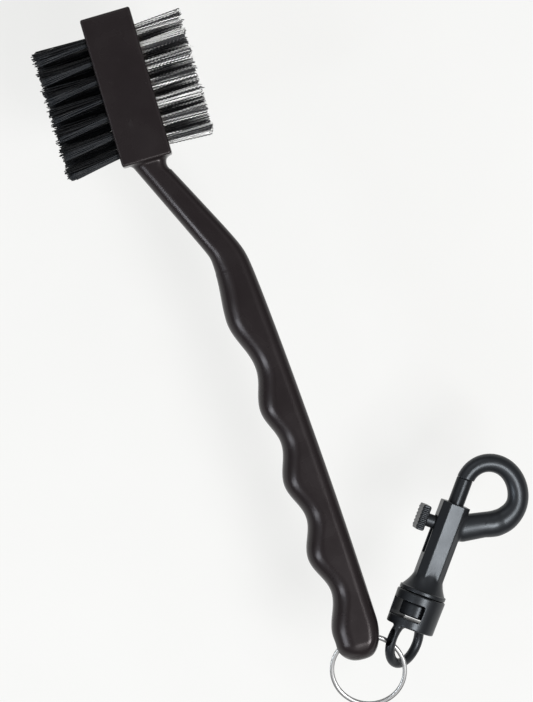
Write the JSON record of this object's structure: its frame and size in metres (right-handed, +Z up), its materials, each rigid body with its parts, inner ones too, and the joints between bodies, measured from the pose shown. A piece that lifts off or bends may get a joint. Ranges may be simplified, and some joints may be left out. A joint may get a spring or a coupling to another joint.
{
  "type": "golf club groove brush",
  "caption": "Double-sided golf club groove brush with a finger-grooved handle, nylon bristles facing wire bristles, a split ring and a swivel bolt snap.",
  "frame": {"origin": "middle of the head's flat underside, on the table the brush lies on", "axes": "+Y along the head to its tip, +X to the wire bristles, +Z up from the table; the grip runs towards -Y"},
  "size_m": [0.0939, 0.196, 0.015],
  "materials": {
    "handle_plastic": "satin",
    "nylon_bristle": "matte",
    "steel_bristle": "bright",
    "anchor_brass": "plain",
    "ring_steel": "polished",
    "snap_plastic": "semi-gloss",
    "bolt_plastic": "semi-gloss",
    "spring_steel": "plain"
  },
  "bodies": {
    "brush": {"handle_body": "handle_plastic", "nylon_tufts_row_1": "nylon_bristle", "nylon_tufts_row_2": "nylon_bristle", "nylon_tufts_row_3": "nylon_bristle", "nylon_tufts_row_4": "nylon_bristle", "nylon_tufts_row_5": "nylon_bristle", "nylon_tufts_row_6": "nylon_bristle", "nylon_tufts_row_7": "nylon_bristle", "wire_tufts_row_1": "steel_bristle", "wire_tufts_row_2": "steel_bristle", "wire_tufts_row_3": "steel_bristle", "wire_tufts_row_4": "steel_bristle", "wire_tufts_row_5": "steel_bristle", "wire_tufts_row_6": "steel_bristle", "wire_tufts_row_7": "steel_bristle", "nylon_tuft_anchors": "anchor_brass", "wire_tuft_anchors": "anchor_brass"},
    "ring": {"split_ring": "ring_steel"},
    "eye": {"swivel_eye": "snap_plastic"},
    "hook": {"snap_hook_body": "snap_plastic", "bolt_spring": "spring_steel", "spring_plug": "snap_plastic"},
    "bolt": {"snap_bolt": "bolt_plastic", "thumb_pad": "snap_plastic"}
  },
  "joints": [
    {"name": "ring_swing", "type": "hinge", "parent": "brush", "child": "ring", "pos_m": [0.0179, -0.157, 0.0075], "axis": [-1, 0, 0], "range_deg": [-60, 40]},
    {"name": "eye_round_ring", "type": "hinge", "parent": "ring", "child": "eye", "pos_m": [0.0183, -0.16589, 0.00641], "axis": [0.1414, 0.2924, -0.9458], "range_deg": [0, 120]},
    {"name": "hook_swivel", "type": "hinge", "parent": "eye", "child": "hook", "pos_m": [0.0318, -0.1583, 0.00675], "axis": [0.5973, 0.8013, 0.0349], "continuous": true},
    {"name": "bolt_slide", "type": "slide", "parent": "hook", "child": "bolt", "axis": [-0.5973, -0.8013, -0.0349], "range_m": [0, 0.0064], "stiffness_N_per_m": 300, "springref_m": -0.004, "deforming": ["bolt_spring"]}
  ]
}
